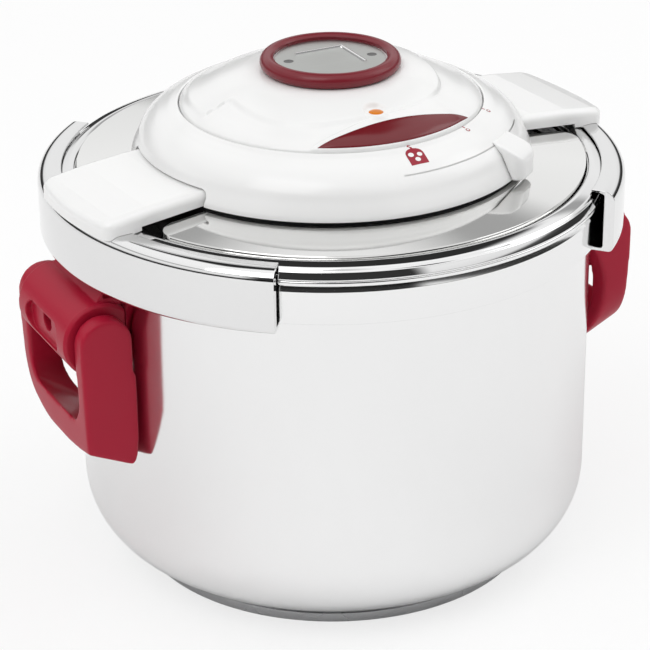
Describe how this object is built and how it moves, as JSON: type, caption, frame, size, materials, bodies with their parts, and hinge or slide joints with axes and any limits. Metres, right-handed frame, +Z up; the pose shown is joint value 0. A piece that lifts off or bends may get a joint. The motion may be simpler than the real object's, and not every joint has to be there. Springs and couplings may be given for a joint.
{
  "type": "pressure canner",
  "caption": "Tall stainless pressure canner with folding side handles and a lid clamped by two sliding jaws that a centre knob drives.",
  "frame": {"origin": "middle of the underside of the base, on the surface the pot stands on", "axes": "+Z up, +X through the right-hand pot handle, +Y to the back, away from the selector tab"},
  "size_m": [0.2948, 0.257, 0.244],
  "materials": {
    "polished_steel": "satin stainless sheet, faintly brushed round the wall",
    "chrome": "mirror-polished stainless sheet",
    "brushed_panel": "fine straight-brushed stainless sheet",
    "base_steel": "turned steel base cap",
    "aluminium_core": "aluminium disc inside the base, dull at its edge",
    "zinc_steel": "plain steel of the mechanism, pins and screws",
    "spring_steel": "drawn spring wire",
    "brass": "turned brass",
    "burgundy_plastic": "smooth semi-gloss burgundy plastic",
    "white_plastic": "glossy white moulded plastic",
    "black_plastic": "black moulded plastic",
    "orange_plastic": "bright orange plastic",
    "silver_plate": "satin grey knob plate",
    "silicone": "grey silicone seal"
  },
  "bodies": {
    "pot": {"pot_shell": "polished_steel", "base_cap": "base_steel", "base_core": "aluminium_core", "bracket_screws": "zinc_steel", "left_weld_plate": "zinc_steel", "right_weld_plate": "zinc_steel", "left_handle_bracket": "burgundy_plastic", "right_handle_bracket": "burgundy_plastic", "left_handle_pins": "zinc_steel", "right_handle_pins": "zinc_steel"},
    "left_handle": {"left_handle_bail": "burgundy_plastic"},
    "right_handle": {"right_handle_bail": "burgundy_plastic"},
    "lid": {"lid_shell": "chrome", "seal_ring": "silicone", "centre_post": "zinc_steel", "post_nut": "zinc_steel", "hub_nut": "zinc_steel", "chassis": "black_plastic", "cover_screws": "zinc_steel", "front_panel": "brushed_panel", "rear_panel": "brushed_panel", "top_cover": "white_plastic", "centre_cover": "white_plastic", "accent_inlay": "burgundy_plastic", "indicator_bush": "brass", "operating_valve_body": "brass", "operating_valve_nut": "zinc_steel", "operating_valve_spring": "spring_steel", "safety_valve_body": "brass", "safety_valve_nut": "zinc_steel", "safety_valve_spring": "spring_steel"},
    "knob": {"knob_shaft": "zinc_steel", "cam_plate": "zinc_steel", "knob_neck": "white_plastic", "knob_ring": "burgundy_plastic", "knob_plate": "silver_plate", "knob_screws": "zinc_steel"},
    "left_clamp": {"left_jaw": "chrome", "left_slide": "zinc_steel", "left_cam_pin": "zinc_steel", "left_rivets": "zinc_steel", "left_arm_cover": "white_plastic"},
    "right_clamp": {"right_jaw": "chrome", "right_slide": "zinc_steel", "right_cam_pin": "zinc_steel", "right_rivets": "zinc_steel", "right_arm_cover": "white_plastic"},
    "selector": {"selector_tab": "white_plastic", "selector_band": "black_plastic"},
    "indicator": {"indicator_pin": "orange_plastic", "indicator_seal": "silicone"},
    "operating_valve": {"operating_valve_plunger": "brass"},
    "safety_valve": {"safety_valve_plunger": "brass"}
  },
  "joints": [
    {"name": "left_handle_swing", "type": "hinge", "parent": "pot", "child": "left_handle", "pos_m": [-0.131, 0, 0.141], "axis": [0, 1, 0], "range_deg": [0, 90]},
    {"name": "right_handle_swing", "type": "hinge", "parent": "pot", "child": "right_handle", "pos_m": [0.131, 0, 0.141], "axis": [0, -1, 0], "range_deg": [0, 90]},
    {"name": "lid_turn", "type": "hinge", "parent": "pot", "child": "lid", "pos_m": [0, 0, 0.187], "axis": [0, 0, 1], "continuous": true},
    {"name": "knob_turn", "type": "hinge", "parent": "lid", "child": "knob", "pos_m": [0, 0, 0.215], "axis": [0, 0, 1], "range_deg": [0, 90]},
    {"name": "left_clamp_slide", "type": "slide", "parent": "lid", "child": "left_clamp", "axis": [-0.9972, -0.075, 0], "range_m": [0, 0.012]},
    {"name": "right_clamp_slide", "type": "slide", "parent": "lid", "child": "right_clamp", "axis": [0.9972, 0.075, 0], "range_m": [0, 0.012]},
    {"name": "selector_turn", "type": "hinge", "parent": "lid", "child": "selector", "pos_m": [0, 0, 0.208], "axis": [0, 0, 1], "range_deg": [-35, 11]},
    {"name": "indicator_rise", "type": "slide", "parent": "lid", "child": "indicator", "axis": [0, 0, 1], "range_m": [0, 0.003]},
    {"name": "operating_valve_lift", "type": "slide", "parent": "lid", "child": "operating_valve", "axis": [0, 0, 1], "range_m": [0, 0.0015], "stiffness_N_per_m": 800, "springref_m": -0.004, "deforming": ["operating_valve_spring"]},
    {"name": "safety_valve_lift", "type": "slide", "parent": "lid", "child": "safety_valve", "axis": [0, 0, 1], "range_m": [0, 0.0015], "stiffness_N_per_m": 1200, "springref_m": -0.004, "deforming": ["safety_valve_spring"]}
  ],
  "couplings": [
    {"joint": "left_clamp_slide", "follows": "knob_turn", "m_per_rad": 0.0076394},
    {"joint": "right_clamp_slide", "follows": "knob_turn", "m_per_rad": 0.0076394}
  ]
}
